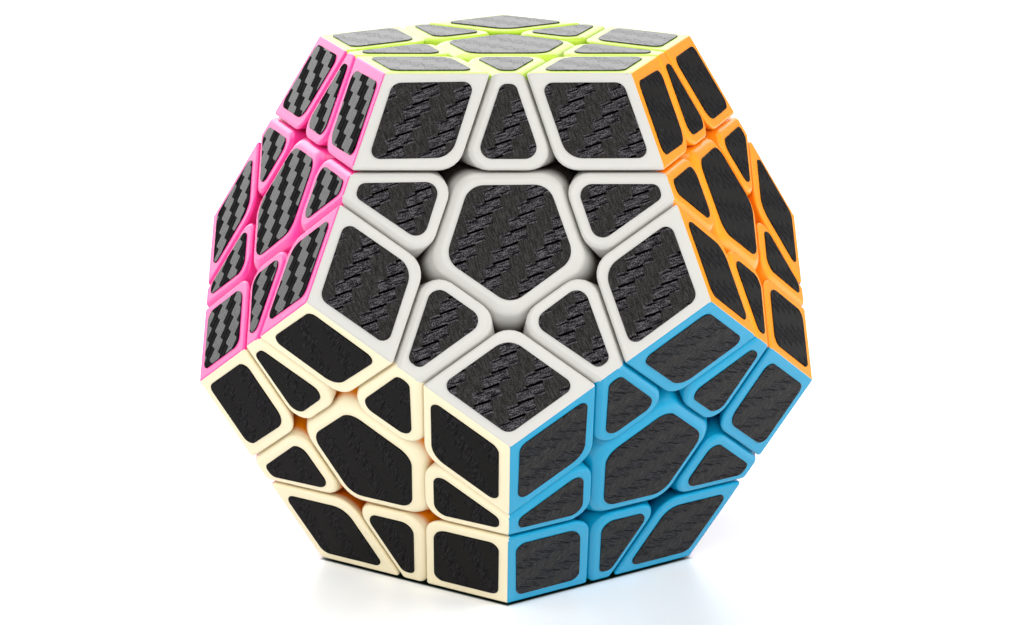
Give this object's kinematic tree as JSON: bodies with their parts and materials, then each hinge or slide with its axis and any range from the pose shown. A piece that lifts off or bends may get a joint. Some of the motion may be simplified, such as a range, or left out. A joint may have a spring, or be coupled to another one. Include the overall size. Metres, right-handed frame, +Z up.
{
  "type": "dodecahedron twisty puzzle",
  "caption": "Regular dodecahedron puzzle of centre, edge and corner pieces held to a hidden core, whose face layers turn about the face axes.",
  "frame": {"origin": "centre of the bottom face, which the puzzle rests on", "axes": "+Z up through the centre of the top face; -Y towards the light grey face, whose top edge is along X"},
  "size_m": [0.0822, 0.0866, 0.07],
  "materials": {
    "lime_plastic": "glossy moulded lime plastic",
    "green_plastic": "glossy moulded green plastic",
    "grey_plastic": "glossy moulded grey plastic",
    "orange_plastic": "glossy moulded orange plastic",
    "yellow_plastic": "glossy moulded yellow plastic",
    "blue_plastic": "glossy moulded blue plastic",
    "pink_plastic": "glossy moulded pink plastic",
    "sky_plastic": "glossy moulded sky plastic",
    "purple_plastic": "glossy moulded purple plastic",
    "white_plastic": "glossy moulded white plastic",
    "red_plastic": "glossy moulded red plastic",
    "cream_plastic": "glossy moulded cream plastic",
    "inner_plastic": "dark satin plastic of the core, stalks and feet",
    "carbon_vinyl": "embossed black woven carbon-look vinyl",
    "steel": "plated screw, spring and washer steel"
  },
  "bodies": {
    "core": {"core": "inner_plastic"},
    "centre_lime": {"centre_lime": "lime_plastic"},
    "centre_grey": {"centre_grey": "grey_plastic"},
    "centre_orange": {"centre_orange": "orange_plastic"},
    "centre_yellow": {"centre_yellow": "yellow_plastic"},
    "centre_blue": {"centre_blue": "blue_plastic"},
    "centre_pink": {"centre_pink": "pink_plastic"},
    "centre_sky": {"centre_sky": "sky_plastic", "edge_green_sky": "green_plastic"},
    "centre_purple": {"centre_purple": "purple_plastic", "edge_green_purple": "green_plastic"},
    "centre_white": {"centre_and_edge_white_green": "white_plastic"},
    "centre_red": {"centre_and_edge_red_green": "red_plastic"},
    "centre_cream": {"centre_cream": "cream_plastic", "edge_green_cream": "green_plastic"},
    "edge_lime_grey": {"edge_lime_grey": "lime_plastic"},
    "edge_lime_orange": {"edge_lime_orange": "lime_plastic"},
    "edge_lime_yellow": {"edge_lime_yellow": "lime_plastic"},
    "edge_lime_blue": {"edge_lime_blue": "lime_plastic"},
    "edge_lime_pink": {"edge_lime_pink": "lime_plastic"},
    "edge_sky_purple": {"edge_sky_purple": "sky_plastic", "corner_green_sky_purple": "green_plastic"},
    "edge_sky_cream": {"edge_sky_cream": "sky_plastic", "corner_green_sky_cream": "green_plastic"},
    "edge_grey_sky": {"edge_grey_sky": "grey_plastic"},
    "edge_orange_sky": {"edge_orange_sky": "orange_plastic"},
    "edge_purple_white": {"edge_purple_white": "purple_plastic", "corner_green_purple_white": "green_plastic"},
    "edge_orange_purple": {"edge_orange_purple": "orange_plastic"},
    "edge_yellow_purple": {"edge_yellow_purple": "yellow_plastic"},
    "edge_white_red": {"edge_white_red": "white_plastic", "corner_green_white_red": "green_plastic"},
    "edge_yellow_white": {"edge_yellow_white": "yellow_plastic"},
    "edge_blue_white": {"edge_blue_white": "blue_plastic"},
    "edge_red_cream": {"edge_red_cream": "red_plastic", "corner_green_red_cream": "green_plastic"},
    "edge_blue_red": {"edge_blue_red": "blue_plastic"},
    "edge_pink_red": {"edge_pink_red": "pink_plastic"},
    "edge_grey_cream": {"edge_grey_cream": "grey_plastic"},
    "edge_pink_cream": {"edge_pink_cream": "pink_plastic"},
    "edge_grey_orange": {"edge_grey_orange": "grey_plastic"},
    "edge_grey_pink": {"edge_grey_pink": "grey_plastic"},
    "edge_orange_yellow": {"edge_orange_yellow": "orange_plastic"},
    "edge_yellow_blue": {"edge_yellow_blue": "yellow_plastic"},
    "edge_blue_pink": {"edge_blue_pink": "blue_plastic"},
    "corner_lime_grey_orange": {"corner_lime_grey_orange": "lime_plastic"},
    "corner_lime_grey_pink": {"corner_lime_grey_pink": "lime_plastic"},
    "corner_lime_orange_yellow": {"corner_lime_orange_yellow": "lime_plastic"},
    "corner_lime_yellow_blue": {"corner_lime_yellow_blue": "lime_plastic"},
    "corner_lime_blue_pink": {"corner_lime_blue_pink": "lime_plastic"},
    "corner_orange_sky_purple": {"corner_orange_sky_purple": "orange_plastic"},
    "corner_grey_sky_cream": {"corner_grey_sky_cream": "grey_plastic"},
    "corner_grey_orange_sky": {"corner_grey_orange_sky": "grey_plastic"},
    "corner_yellow_purple_white": {"corner_yellow_purple_white": "yellow_plastic"},
    "corner_orange_yellow_purple": {"corner_orange_yellow_purple": "orange_plastic"},
    "corner_blue_white_red": {"corner_blue_white_red": "blue_plastic"},
    "corner_yellow_blue_white": {"corner_yellow_blue_white": "yellow_plastic"},
    "corner_pink_red_cream": {"corner_pink_red_cream": "pink_plastic"},
    "corner_blue_pink_red": {"corner_blue_pink_red": "blue_plastic"},
    "corner_grey_pink_cream": {"corner_grey_pink_cream": "grey_plastic"}
  },
  "joints": [
    {"name": "turn_lime", "type": "hinge", "parent": "core", "child": "centre_lime", "pos_m": [0, 0, 0.035], "axis": [0, 0, 1], "range_deg": [0, 72]},
    {"name": "turn_grey", "type": "hinge", "parent": "core", "child": "centre_grey", "pos_m": [0, 0, 0.035], "axis": [0, -0.8944, 0.4472], "range_deg": [0, 72]},
    {"name": "turn_orange", "type": "hinge", "parent": "core", "child": "centre_orange", "pos_m": [0, 0, 0.035], "axis": [0.8507, -0.2764, 0.4472], "range_deg": [-144, 72]},
    {"name": "turn_yellow", "type": "hinge", "parent": "core", "child": "centre_yellow", "pos_m": [0, 0, 0.035], "axis": [0.5257, 0.7236, 0.4472], "range_deg": [0, 72]},
    {"name": "turn_blue", "type": "hinge", "parent": "core", "child": "centre_blue", "pos_m": [0, 0, 0.035], "axis": [-0.5257, 0.7236, 0.4472], "range_deg": [0, 72]},
    {"name": "turn_pink", "type": "hinge", "parent": "core", "child": "centre_pink", "pos_m": [0, 0, 0.035], "axis": [-0.8507, -0.2764, 0.4472], "range_deg": [-144, 72]},
    {"name": "turn_sky", "type": "hinge", "parent": "core", "child": "centre_sky", "pos_m": [0, 0, 0.035], "axis": [0.5257, -0.7236, -0.4472], "range_deg": [0, 72]},
    {"name": "turn_purple", "type": "hinge", "parent": "core", "child": "centre_purple", "pos_m": [0, 0, 0.035], "axis": [0.8507, 0.2764, -0.4472], "range_deg": [0, 72]},
    {"name": "turn_white", "type": "hinge", "parent": "core", "child": "centre_white", "pos_m": [0, 0, 0.035], "axis": [0, 0.8944, -0.4472], "range_deg": [-144, 72]},
    {"name": "turn_red", "type": "hinge", "parent": "core", "child": "centre_red", "pos_m": [0, 0, 0.035], "axis": [-0.8507, 0.2764, -0.4472], "range_deg": [0, 72]},
    {"name": "turn_cream", "type": "hinge", "parent": "core", "child": "centre_cream", "pos_m": [0, 0, 0.035], "axis": [-0.5257, -0.7236, -0.4472], "range_deg": [0, 72]},
    {"name": "edge_lime_grey_about_lime", "type": "hinge", "parent": "centre_grey", "child": "edge_lime_grey", "pos_m": [0, 0, 0.035], "axis": [0, 0, 1], "range_deg": [0, 72]},
    {"name": "edge_lime_orange_about_lime", "type": "hinge", "parent": "centre_orange", "child": "edge_lime_orange", "pos_m": [0, 0, 0.035], "axis": [0, 0, 1], "range_deg": [0, 72]},
    {"name": "edge_lime_yellow_about_lime", "type": "hinge", "parent": "centre_yellow", "child": "edge_lime_yellow", "pos_m": [0, 0, 0.035], "axis": [0, 0, 1], "range_deg": [0, 72]},
    {"name": "edge_lime_blue_about_lime", "type": "hinge", "parent": "centre_blue", "child": "edge_lime_blue", "pos_m": [0, 0, 0.035], "axis": [0, 0, 1], "range_deg": [0, 72]},
    {"name": "edge_lime_pink_about_lime", "type": "hinge", "parent": "centre_pink", "child": "edge_lime_pink", "pos_m": [0, 0, 0.035], "axis": [0, 0, 1], "range_deg": [0, 72]},
    {"name": "edge_sky_purple_about_sky", "type": "hinge", "parent": "centre_purple", "child": "edge_sky_purple", "pos_m": [0, 0, 0.035], "axis": [0.5257, -0.7236, -0.4472], "range_deg": [0, 72]},
    {"name": "edge_sky_cream_about_cream", "type": "hinge", "parent": "centre_sky", "child": "edge_sky_cream", "pos_m": [0, 0, 0.035], "axis": [-0.5257, -0.7236, -0.4472], "range_deg": [0, 72]},
    {"name": "edge_grey_sky_about_sky", "type": "hinge", "parent": "centre_grey", "child": "edge_grey_sky", "pos_m": [0, 0, 0.035], "axis": [0.5257, -0.7236, -0.4472], "range_deg": [0, 72]},
    {"name": "edge_orange_sky_about_orange", "type": "hinge", "parent": "centre_sky", "child": "edge_orange_sky", "pos_m": [0, 0, 0.035], "axis": [0.8507, -0.2764, 0.4472], "range_deg": [-144, 72]},
    {"name": "edge_purple_white_about_purple", "type": "hinge", "parent": "centre_white", "child": "edge_purple_white", "pos_m": [0, 0, 0.035], "axis": [0.8507, 0.2764, -0.4472], "range_deg": [0, 72]},
    {"name": "edge_orange_purple_about_purple", "type": "hinge", "parent": "centre_orange", "child": "edge_orange_purple", "pos_m": [0, 0, 0.035], "axis": [0.8507, 0.2764, -0.4472], "range_deg": [0, 72]},
    {"name": "edge_yellow_purple_about_yellow", "type": "hinge", "parent": "centre_purple", "child": "edge_yellow_purple", "pos_m": [0, 0, 0.035], "axis": [0.5257, 0.7236, 0.4472], "range_deg": [0, 72]},
    {"name": "edge_white_red_about_white", "type": "hinge", "parent": "centre_red", "child": "edge_white_red", "pos_m": [0, 0, 0.035], "axis": [0, 0.8944, -0.4472], "range_deg": [-144, 72]},
    {"name": "edge_yellow_white_about_white", "type": "hinge", "parent": "centre_yellow", "child": "edge_yellow_white", "pos_m": [0, 0, 0.035], "axis": [0, 0.8944, -0.4472], "range_deg": [-144, 72]},
    {"name": "edge_blue_white_about_blue", "type": "hinge", "parent": "centre_white", "child": "edge_blue_white", "pos_m": [0, 0, 0.035], "axis": [-0.5257, 0.7236, 0.4472], "range_deg": [0, 72]},
    {"name": "edge_red_cream_about_red", "type": "hinge", "parent": "centre_cream", "child": "edge_red_cream", "pos_m": [0, 0, 0.035], "axis": [-0.8507, 0.2764, -0.4472], "range_deg": [0, 72]},
    {"name": "edge_blue_red_about_red", "type": "hinge", "parent": "centre_blue", "child": "edge_blue_red", "pos_m": [0, 0, 0.035], "axis": [-0.8507, 0.2764, -0.4472], "range_deg": [0, 72]},
    {"name": "edge_pink_red_about_pink", "type": "hinge", "parent": "centre_red", "child": "edge_pink_red", "pos_m": [0, 0, 0.035], "axis": [-0.8507, -0.2764, 0.4472], "range_deg": [-144, 72]},
    {"name": "edge_grey_cream_about_grey", "type": "hinge", "parent": "centre_cream", "child": "edge_grey_cream", "pos_m": [0, 0, 0.035], "axis": [0, -0.8944, 0.4472], "range_deg": [0, 72]},
    {"name": "edge_pink_cream_about_cream", "type": "hinge", "parent": "centre_pink", "child": "edge_pink_cream", "pos_m": [0, 0, 0.035], "axis": [-0.5257, -0.7236, -0.4472], "range_deg": [0, 72]},
    {"name": "edge_grey_orange_about_grey", "type": "hinge", "parent": "centre_orange", "child": "edge_grey_orange", "pos_m": [0, 0, 0.035], "axis": [0, -0.8944, 0.4472], "range_deg": [0, 72]},
    {"name": "edge_grey_pink_about_pink", "type": "hinge", "parent": "centre_grey", "child": "edge_grey_pink", "pos_m": [0, 0, 0.035], "axis": [-0.8507, -0.2764, 0.4472], "range_deg": [-144, 72]},
    {"name": "edge_orange_yellow_about_orange", "type": "hinge", "parent": "centre_yellow", "child": "edge_orange_yellow", "pos_m": [0, 0, 0.035], "axis": [0.8507, -0.2764, 0.4472], "range_deg": [-144, 72]},
    {"name": "edge_yellow_blue_about_yellow", "type": "hinge", "parent": "centre_blue", "child": "edge_yellow_blue", "pos_m": [0, 0, 0.035], "axis": [0.5257, 0.7236, 0.4472], "range_deg": [0, 72]},
    {"name": "edge_blue_pink_about_blue", "type": "hinge", "parent": "centre_pink", "child": "edge_blue_pink", "pos_m": [0, 0, 0.035], "axis": [-0.5257, 0.7236, 0.4472], "range_deg": [0, 72]},
    {"name": "corner_lime_grey_orange_about_lime", "type": "hinge", "parent": "edge_grey_orange", "child": "corner_lime_grey_orange", "pos_m": [0, 0, 0.035], "axis": [0, 0, 1], "range_deg": [0, 72]},
    {"name": "corner_lime_grey_pink_about_lime", "type": "hinge", "parent": "edge_grey_pink", "child": "corner_lime_grey_pink", "pos_m": [0, 0, 0.035], "axis": [0, 0, 1], "range_deg": [0, 72]},
    {"name": "corner_lime_orange_yellow_about_lime", "type": "hinge", "parent": "edge_orange_yellow", "child": "corner_lime_orange_yellow", "pos_m": [0, 0, 0.035], "axis": [0, 0, 1], "range_deg": [0, 72]},
    {"name": "corner_lime_yellow_blue_about_lime", "type": "hinge", "parent": "edge_yellow_blue", "child": "corner_lime_yellow_blue", "pos_m": [0, 0, 0.035], "axis": [0, 0, 1], "range_deg": [0, 72]},
    {"name": "corner_lime_blue_pink_about_lime", "type": "hinge", "parent": "edge_blue_pink", "child": "corner_lime_blue_pink", "pos_m": [0, 0, 0.035], "axis": [0, 0, 1], "range_deg": [0, 72]},
    {"name": "corner_orange_sky_purple_about_orange", "type": "hinge", "parent": "edge_sky_purple", "child": "corner_orange_sky_purple", "pos_m": [0, 0, 0.035], "axis": [0.8507, -0.2764, 0.4472], "range_deg": [-144, 72]},
    {"name": "corner_grey_sky_cream_about_grey", "type": "hinge", "parent": "edge_sky_cream", "child": "corner_grey_sky_cream", "pos_m": [0, 0, 0.035], "axis": [0, -0.8944, 0.4472], "range_deg": [0, 72]},
    {"name": "corner_grey_orange_sky_about_orange", "type": "hinge", "parent": "edge_grey_sky", "child": "corner_grey_orange_sky", "pos_m": [0, 0, 0.035], "axis": [0.8507, -0.2764, 0.4472], "range_deg": [-144, 72]},
    {"name": "corner_yellow_purple_white_about_yellow", "type": "hinge", "parent": "edge_purple_white", "child": "corner_yellow_purple_white", "pos_m": [0, 0, 0.035], "axis": [0.5257, 0.7236, 0.4472], "range_deg": [0, 72]},
    {"name": "corner_orange_yellow_purple_about_yellow", "type": "hinge", "parent": "edge_orange_purple", "child": "corner_orange_yellow_purple", "pos_m": [0, 0, 0.035], "axis": [0.5257, 0.7236, 0.4472], "range_deg": [0, 72]},
    {"name": "corner_blue_white_red_about_blue", "type": "hinge", "parent": "edge_white_red", "child": "corner_blue_white_red", "pos_m": [0, 0, 0.035], "axis": [-0.5257, 0.7236, 0.4472], "range_deg": [0, 72]},
    {"name": "corner_yellow_blue_white_about_blue", "type": "hinge", "parent": "edge_yellow_white", "child": "corner_yellow_blue_white", "pos_m": [0, 0, 0.035], "axis": [-0.5257, 0.7236, 0.4472], "range_deg": [0, 72]},
    {"name": "corner_pink_red_cream_about_pink", "type": "hinge", "parent": "edge_red_cream", "child": "corner_pink_red_cream", "pos_m": [0, 0, 0.035], "axis": [-0.8507, -0.2764, 0.4472], "range_deg": [-144, 72]},
    {"name": "corner_blue_pink_red_about_pink", "type": "hinge", "parent": "edge_blue_red", "child": "corner_blue_pink_red", "pos_m": [0, 0, 0.035], "axis": [-0.8507, -0.2764, 0.4472], "range_deg": [-144, 72]},
    {"name": "corner_grey_pink_cream_about_grey", "type": "hinge", "parent": "edge_pink_cream", "child": "corner_grey_pink_cream", "pos_m": [0, 0, 0.035], "axis": [0, -0.8944, 0.4472], "range_deg": [0, 72]}
  ],
  "couplings": [
    {"joint": "edge_lime_grey_about_lime", "follows": "turn_lime", "ratio": 1},
    {"joint": "edge_lime_orange_about_lime", "follows": "turn_lime", "ratio": 1},
    {"joint": "edge_lime_yellow_about_lime", "follows": "turn_lime", "ratio": 1},
    {"joint": "edge_lime_blue_about_lime", "follows": "turn_lime", "ratio": 1},
    {"joint": "edge_lime_pink_about_lime", "follows": "turn_lime", "ratio": 1},
    {"joint": "edge_sky_purple_about_sky", "follows": "turn_sky", "ratio": 1},
    {"joint": "edge_sky_cream_about_cream", "follows": "turn_cream", "ratio": 1},
    {"joint": "edge_grey_sky_about_sky", "follows": "turn_sky", "ratio": 1},
    {"joint": "edge_orange_sky_about_orange", "follows": "turn_orange", "ratio": 1},
    {"joint": "edge_purple_white_about_purple", "follows": "turn_purple", "ratio": 1},
    {"joint": "edge_orange_purple_about_purple", "follows": "turn_purple", "ratio": 1},
    {"joint": "edge_yellow_purple_about_yellow", "follows": "turn_yellow", "ratio": 1},
    {"joint": "edge_white_red_about_white", "follows": "turn_white", "ratio": 1},
    {"joint": "edge_yellow_white_about_white", "follows": "turn_white", "ratio": 1},
    {"joint": "edge_blue_white_about_blue", "follows": "turn_blue", "ratio": 1},
    {"joint": "edge_red_cream_about_red", "follows": "turn_red", "ratio": 1},
    {"joint": "edge_blue_red_about_red", "follows": "turn_red", "ratio": 1},
    {"joint": "edge_pink_red_about_pink", "follows": "turn_pink", "ratio": 1},
    {"joint": "edge_grey_cream_about_grey", "follows": "turn_grey", "ratio": 1},
    {"joint": "edge_pink_cream_about_cream", "follows": "turn_cream", "ratio": 1},
    {"joint": "edge_grey_orange_about_grey", "follows": "turn_grey", "ratio": 1},
    {"joint": "edge_grey_pink_about_pink", "follows": "turn_pink", "ratio": 1},
    {"joint": "edge_orange_yellow_about_orange", "follows": "turn_orange", "ratio": 1},
    {"joint": "edge_yellow_blue_about_yellow", "follows": "turn_yellow", "ratio": 1},
    {"joint": "edge_blue_pink_about_blue", "follows": "turn_blue", "ratio": 1},
    {"joint": "corner_lime_grey_orange_about_lime", "follows": "turn_lime", "ratio": 1},
    {"joint": "corner_lime_grey_pink_about_lime", "follows": "turn_lime", "ratio": 1},
    {"joint": "corner_lime_orange_yellow_about_lime", "follows": "turn_lime", "ratio": 1},
    {"joint": "corner_lime_yellow_blue_about_lime", "follows": "turn_lime", "ratio": 1},
    {"joint": "corner_lime_blue_pink_about_lime", "follows": "turn_lime", "ratio": 1},
    {"joint": "corner_orange_sky_purple_about_orange", "follows": "turn_orange", "ratio": 1},
    {"joint": "corner_grey_sky_cream_about_grey", "follows": "turn_grey", "ratio": 1},
    {"joint": "corner_grey_orange_sky_about_orange", "follows": "turn_orange", "ratio": 1},
    {"joint": "corner_yellow_purple_white_about_yellow", "follows": "turn_yellow", "ratio": 1},
    {"joint": "corner_orange_yellow_purple_about_yellow", "follows": "turn_yellow", "ratio": 1},
    {"joint": "corner_blue_white_red_about_blue", "follows": "turn_blue", "ratio": 1},
    {"joint": "corner_yellow_blue_white_about_blue", "follows": "turn_blue", "ratio": 1},
    {"joint": "corner_pink_red_cream_about_pink", "follows": "turn_pink", "ratio": 1},
    {"joint": "corner_blue_pink_red_about_pink", "follows": "turn_pink", "ratio": 1},
    {"joint": "corner_grey_pink_cream_about_grey", "follows": "turn_grey", "ratio": 1}
  ]
}
